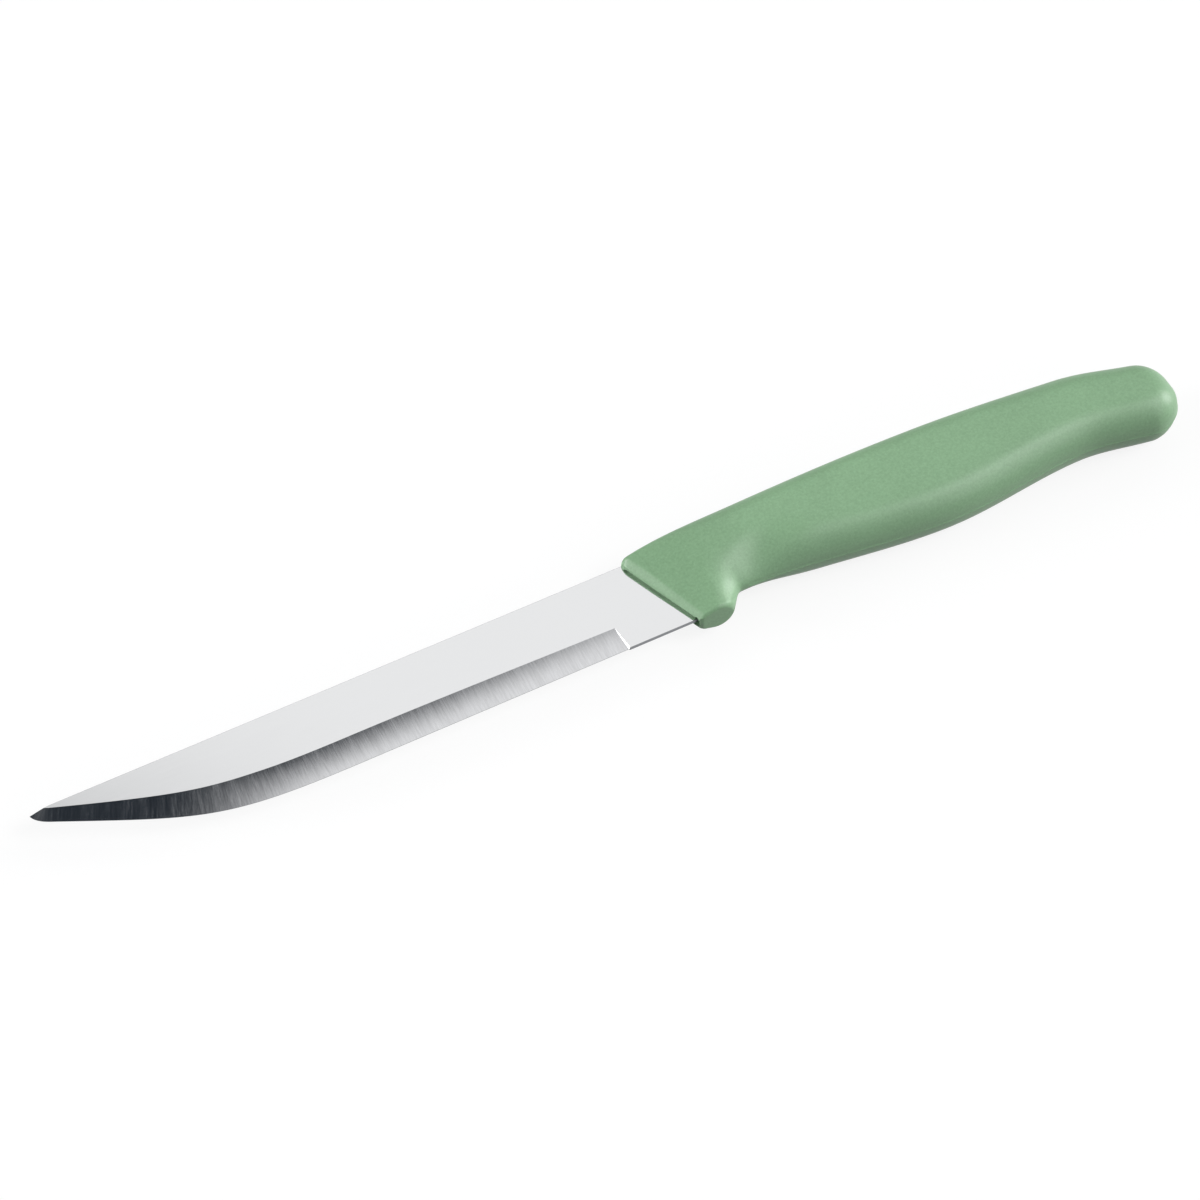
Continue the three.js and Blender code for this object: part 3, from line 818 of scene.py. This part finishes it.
class KNIFE_OT_handle(bpy.types.Operator):
    """Model the moulded handle from rounded sections and cut the pocket for the tang"""

    bl_idname = "knife.handle"
    bl_label = "Moulded handle"

    def execute(self, context):
        sizes = context.scene.knife_handle
        blade = context.scene.knife_blade
        origin = drawing_origin(context)
        slant = math.tan(sizes.front_slant)
        full = sizes.thickness
        guard_y = -blade.width - sizes.guard_drop
        guard_front = -slant * guard_y
        guard_rear = guard_front + sizes.guard_length
        recess_y = guard_y + sizes.recess_depth
        recess_front = guard_rear + GUARD_WALL_RUN
        recess_rear = recess_front + RECESS_FLAT
        wall_foot = Vector((guard_rear, guard_y))
        wall_foot += Vector((GUARD_WALL_FOOT[0] * GUARD_WALL_RUN, GUARD_WALL_FOOT[1] * sizes.recess_depth))
        hook_at = sizes.length - HOOK_TO_BUTT
        belly_at = hook_at - BELLY_TO_HOOK
        belly_y = guard_y - sizes.belly_depth
        butt_at = sizes.length - sizes.butt_radius
        back_end = Vector((math.sin(BACK_END_ANGLE), math.cos(BACK_END_ANGLE))) * sizes.butt_radius
        back_end += Vector((butt_at, -BUTT_DROP))
        back = smooth_height(
            [
                (0.0, BACK_RISE_FRONT),
                (BACK_CROWN_AT, sizes.back_rise),
                (sizes.length - BACK_FALL_TO_BUTT, -BACK_FALL),
                tuple(back_end),
            ]
        )
        under = smooth_height(
            [
                (guard_front, guard_y + GUARD_CORNER),
                (guard_front + GUARD_CORNER_RUN, guard_y),
                (guard_rear, guard_y),
                (wall_foot.x, wall_foot.y),
                (recess_front, recess_y),
                (recess_rear, recess_y),
                (belly_at, belly_y),
                (hook_at, belly_y + sizes.hook_rise),
                (butt_at, -BUTT_DROP - sizes.butt_radius),
            ]
        )

        def butt_half(x):
            return sizes.butt_radius * rounded_end(sizes.length - x, sizes.butt_radius)

        def guard_edge(setback):
            """Radius of the long edges of the guard, small at the front."""
            return lerp(GUARD_EDGE_RADIUS_FRONT, GUARD_EDGE_RADIUS, smooth_step(setback, 0, FRONT_RINGS))

        def section(setback):
            """Top, bottom, half thickness, the two corner radii and the slope of one section."""
            slope = slant * clamp(1 - setback / SLANT_FADE) ** 2
            bottom = guard_y
            for _ in range(SECTION_ROUNDS):
                x = setback - slope * bottom
                bottom = under(x) if x < butt_at else -BUTT_DROP - butt_half(x)
            top = back(setback) if setback < back_end.x else -BUTT_DROP + butt_half(setback)
            top -= FRONT_CORNER * (1 - rounded_end(setback, FRONT_CORNER))
            thin = clamp(1 - setback / SWELL_LENGTH)
            half = (full - (full - sizes.front_thickness) * thin * thin) / 2
            half = soft_least(FRONT_FACE_HALF + CHAMFER_SLOPE * setback, half, CHAMFER_BLEND)
            half -= FRONT_BREAK * clamp(1 - setback / FRONT_BREAK) ** 2
            half *= rounded_end(sizes.length - setback, BUTT_EDGE_RADIUS, BUTT_EDGE_POWER)
            grip = lerp(BACK_EDGE_RADIUS_FRONT, BACK_EDGE_RADIUS, smooth_step(setback, 0, SWELL_LENGTH))
            back_radius = lerp(grip, half, smooth_step(setback, belly_at, butt_at))
            past_guard = smooth_step(setback - slope * bottom, guard_rear, recess_rear)
            under_radius = lerp(guard_edge(setback), half, past_guard)
            most = CORNER_LIMIT * min(half, (top - bottom) / 2)
            return top, bottom, half, min(back_radius, most), min(under_radius, most), slope

        # The rear of the guard, the wall behind it and the recess are rounded about one line: the
        # lower end of this line runs on below the guard, so that the flat of the guard ends in a D.
        wall_way = (wall_foot - Vector((guard_rear, guard_y))).normalized()
        wall_rise = (Vector((recess_front, recess_y)) - wall_foot).normalized()
        recess_line = [wall_foot - wall_way * RECESS_LINE_AHEAD, wall_foot]
        line_end = recess_rear + RECESS_BLEND + RECESS_LINE_BEHIND
        for step in range(1, RECESS_LINE_STEPS + 1):
            x = lerp(wall_foot.x, line_end, step / RECESS_LINE_STEPS)
            recess_line.append(Vector((x, under(x))))

        def guard_half(place, half, radius):
            """Half thickness at a place low on the guard or round the recess."""
            half *= 1 - GUARD_TAPER * smooth_step(place.y, -GUARD_TAPER_TOP * blade.width, guard_y)
            off = math.inf
            along = 0.0
            for a, b in zip(recess_line, recess_line[1:]):
                share = clamp((place - a).dot(b - a) / (b - a).length_squared)
                nearest = a.lerp(b, share)
                if (place - nearest).length < off:
                    off = (place - nearest).length
                    along = nearest.x
            behind = (place - wall_foot).dot(Vector((wall_rise.y, -wall_rise.x))) + SCOOP_AHEAD
            scoop = smooth_step(behind, -SCOOP_EDGE, SCOOP_EDGE)
            scoop *= 1 - smooth_step(behind, SCOOP_EDGE, SCOOP_LENGTH)
            scoop *= 1 - smooth_step(place.y, *SCOOP_TOP)
            half -= SCOOP_DEPTH * scoop * smooth_step(place.y, guard_y, guard_y + SCOOP_FOOT)
            deep = smooth_step(along, guard_rear, recess_front)
            deep *= 1 - smooth_step(along, recess_rear, recess_rear + RECESS_BLEND)
            reach = CORNER_LIMIT * half * lerp(1.0, RECESS_ROUNDING, deep)
            rise = rounded_end(off, reach)
            edge = max(radius - max(place.y - guard_y, 0.0), 0.0)
            lost = radius - math.sqrt(radius**2 - edge**2)
            return max(half * lerp(1.0, rise, CORNER_LIMIT) - lost, 0.0)

        setbacks = []
        for step in range(FRONT_RING_COUNT + 1):
            setbacks.append(FRONT_RINGS * (1 - math.cos(math.radians(90 * step / FRONT_RING_COUNT))))
        for step in range(1, GUARD_RING_COUNT + 1):
            setbacks.append(lerp(FRONT_RINGS, recess_rear, step / GUARD_RING_COUNT))
        for step in range(1, GRIP_RING_COUNT + 1):
            setbacks.append(lerp(recess_rear, butt_at, step / GRIP_RING_COUNT))
        for step in range(1, BUTT_RING_COUNT + 1):
            turn = LAST_BUTT_ANGLE * step / BUTT_RING_COUNT
            setbacks.append(butt_at + sizes.butt_radius * math.sin(turn))

        piece = start_piece("moulded_handle", [moulded_polypropylene(context.scene.knife_colours)])
        for setback in setbacks:
            top, bottom, half, back_radius, under_radius, slope = section(setback)
            lean = math.atan(slope)
            middle = (top + bottom) / 2
            centre = origin + Vector((setback - slope * middle, middle, 0))
            bpy.ops.mesh.select_mode(type="VERT")
            bpy.ops.mesh.primitive_plane_add(size=1, location=centre, rotation=(0, math.pi / 2, 0))
            height = (top - bottom) / math.cos(lean)
            bpy.ops.transform.resize(value=(1, height, 2 * half), center_override=centre)
            for above, radius in ((True, back_radius), (False, under_radius)):
                select_where(piece, "VERT", lambda v: (v.co.y > centre.y) == above)
                bpy.ops.mesh.bevel(
                    offset=radius,
                    segments=CORNER_SEGMENTS,
                    profile=0.5,
                    affect="VERTICES",
                    clamp_overlap=False,
                )
            bpy.ops.mesh.select_all(action="SELECT")
            bpy.ops.mesh.delete(type="ONLY_FACE")
            select_where(
                piece,
                "EDGE",
                lambda e: all(abs(abs(v.co.z - origin.z) - half) < ON_SIDE for v in e.verts),
            )
            bpy.ops.mesh.subdivide(number_cuts=SIDE_CUTS)
            select_where(
                piece, "EDGE", lambda e: (e.verts[0].co.z - origin.z) * (e.verts[1].co.z - origin.z) < 0
            )
            bpy.ops.mesh.subdivide(number_cuts=1)
            bpy.ops.mesh.select_all(action="SELECT")
            bpy.ops.transform.rotate(value=-lean, orient_axis="Z", center_override=centre)
            share = 1 - smooth_step(setback - slope * bottom, recess_rear, recess_rear + RECESS_BLEND)
            if share > 0:
                shape = bmesh.from_edit_mesh(piece.data)
                for vertex in shape.verts:
                    across = vertex.co.z - origin.z
                    if vertex.hide or abs(across) < ON_PLANE:
                        continue
                    wanted = guard_half((vertex.co - origin).xy, half, guard_edge(setback))
                    if vertex.co.y > centre.y:
                        wanted = min(wanted, abs(across))
                    vertex.co.z = origin.z + lerp(across, math.copysign(wanted, across), share)
                bmesh.update_edit_mesh(piece.data)
            bpy.ops.mesh.hide()

        bpy.ops.mesh.reveal()
        bpy.ops.mesh.select_all(action="SELECT")
        bpy.ops.mesh.bridge_edge_loops()

        # The mould closes on the mid-plane: a fine ridge runs along the underside, the butt and the back.
        def on_parting(edge):
            return all(
                abs(v.co.z - origin.z) < ON_PLANE
                and v.co.x - origin.x > (FRONT_RINGS if v.co.y > origin.y - blade.width / 2 else recess_rear)
                for v in edge.verts
            )

        select_where(piece, "EDGE", on_parting)
        bpy.ops.mesh.bevel(
            offset=PARTING_HALF_WIDTH, segments=2, profile=0.5, affect="EDGES", clamp_overlap=False
        )
        select_where(piece, "EDGE", on_parting)
        bpy.ops.transform.shrink_fatten(value=sizes.parting_line)

        # The front and the butt are closed.
        half_way = origin.x + sizes.length / 2
        for end in (-1, 1):
            select_where(piece, "EDGE", lambda e: e.is_boundary and (e.verts[0].co.x - half_way) * end > 0)
            bpy.ops.mesh.edge_face_add()
        bpy.ops.mesh.select_all(action="SELECT")
        bpy.ops.mesh.normals_make_consistent(inside=False)
        bpy.ops.object.mode_set(mode="OBJECT")

        # The mould closes on the blade in front of the plastic, which leaves a narrow recess round it.
        low_end = guard_y + SHUT_OFF_WEB
        middle = (low_end - SHUT_OFF_TOP) / 2
        centre = origin + Vector((-slant * middle, middle, 0))
        pocket = start_piece("shut_off_cutter")
        bpy.ops.mesh.primitive_cube_add(size=1, location=centre)
        reach = (-SHUT_OFF_TOP - low_end) / math.cos(sizes.front_slant)
        bpy.ops.transform.resize(value=(2 * SHUT_OFF_DEPTH, reach, 2 * SHUT_OFF_HALF), center_override=centre)
        select_where(pocket, "EDGE", lambda e: abs(e.verts[0].co.x - e.verts[1].co.x) > SHUT_OFF_DEPTH)
        bpy.ops.mesh.bevel(offset=SHUT_OFF_ROUND, segments=SHUT_OFF_SEGMENTS, profile=0.5, affect="EDGES")
        select_where(pocket, "VERT", lambda v: v.co.x > centre.x)
        bpy.ops.transform.resize(value=SHUT_OFF_DRAFT, center_override=centre)
        heel_end = centre.y - reach / 2 + SHUT_OFF_HEEL
        select_where(pocket, "VERT", lambda v: v.co.x > centre.x and v.co.y < heel_end)
        bpy.ops.transform.translate(value=(SHUT_OFF_HEEL_DEPTH, 0, 0))
        bpy.ops.mesh.select_all(action="SELECT")
        bpy.ops.transform.rotate(value=-sizes.front_slant, orient_axis="Z", center_override=centre)
        bpy.ops.object.mode_set(mode="OBJECT")
        cut_away(piece, pocket)

        steel = bpy.data.objects["ground_blade"]
        cutter = steel.copy()
        cutter.data = steel.data.copy()
        cutter.data.materials.clear()
        context.scene.collection.objects.link(cutter)
        bpy.ops.object.select_all(action="DESELECT")
        context.view_layer.objects.active = cutter
        cutter.select_set(True)
        bpy.ops.object.mode_set(mode="EDIT")
        bpy.ops.mesh.select_all(action="SELECT")
        bpy.ops.transform.shrink_fatten(value=MOULD_GAP, use_even_offset=True)
        bpy.ops.object.mode_set(mode="OBJECT")
        cut_away(piece, cutter)
        bpy.ops.object.shade_smooth_by_angle(angle=HANDLE_SMOOTH, keep_sharp_edges=True)
        keep_piece(piece, "handle")
        return {"FINISHED"}


class KNIFE_OT_stage(bpy.types.Operator):
    """Set up the floor, the soft light and the camera"""

    bl_idname = "knife.stage"
    bl_label = "Studio"

    def execute(self, context):
        scene = context.scene
        stage = scene.knife_stage
        scene.view_settings.view_transform = "Standard"

        bpy.ops.object.select_all(action="DESELECT")
        bpy.ops.mesh.primitive_plane_add(size=FLOOR_SIZE, location=(0, 0, handle_low.z - FLOOR_GAP))
        floor = context.object
        floor.name = "floor"
        floor.data.materials.append(matt_white_floor(stage.floor))

        world = bpy.data.worlds.new("light_tent")
        scene.world = world
        world.use_nodes = True
        world.node_tree.nodes.clear()
        light_tent(world.node_tree)

        target = drawing_origin(context) + CAMERA_TARGET
        back = Vector(
            (
                math.sin(stage.azimuth) * math.cos(stage.elevation),
                -math.cos(stage.azimuth) * math.cos(stage.elevation),
                math.sin(stage.elevation),
            )
        )
        bpy.ops.object.camera_add(location=target + back * stage.distance)
        camera = context.object
        camera.name = "camera"
        camera.rotation_euler = (-back).to_track_quat("-Z", "Y").to_euler()
        camera.data.lens = CAMERA_LENS
        camera.data.sensor_width = CAMERA_SENSOR
        camera.data.clip_start = CAMERA_CLIP
        scene.camera = camera
        return {"FINISHED"}


class KNIFE_PT_panel(bpy.types.Panel):
    """Lists the knife's operators and settings"""

    bl_idname = "KNIFE_PT_panel"
    bl_label = "Knife"
    bl_space_type = "VIEW_3D"
    bl_region_type = "UI"
    bl_category = "Knife"

    def draw(self, context):
        for operator in (KNIFE_OT_blade, KNIFE_OT_handle, KNIFE_OT_stage):
            self.layout.operator(operator.bl_idname)
        for name in GROUPS:
            column = self.layout.column(heading=name)
            group = getattr(context.scene, name)
            for setting in group.bl_rna.properties:
                if not setting.is_readonly and setting.identifier != "name":
                    column.prop(group, setting.identifier)


GROUPS = {
    "knife_blade": KnifeBladeSizes,
    "knife_handle": KnifeHandleSizes,
    "knife_colours": KnifeColours,
    "knife_stage": KnifeStage,
}
CLASSES = (*GROUPS.values(), KNIFE_OT_blade, KNIFE_OT_handle, KNIFE_OT_stage, KNIFE_PT_panel)


def register():
    for item in CLASSES:
        bpy.utils.register_class(item)
    for name, group in GROUPS.items():
        setattr(bpy.types.Scene, name, PointerProperty(type=group))


def unregister():
    for name in GROUPS:
        delattr(bpy.types.Scene, name)
    for item in reversed(CLASSES):
        bpy.utils.unregister_class(item)


def main():
    register()
    bpy.ops.knife.blade()
    bpy.ops.knife.handle()
    bpy.ops.knife.stage()


if __name__ == "__main__":
    main()
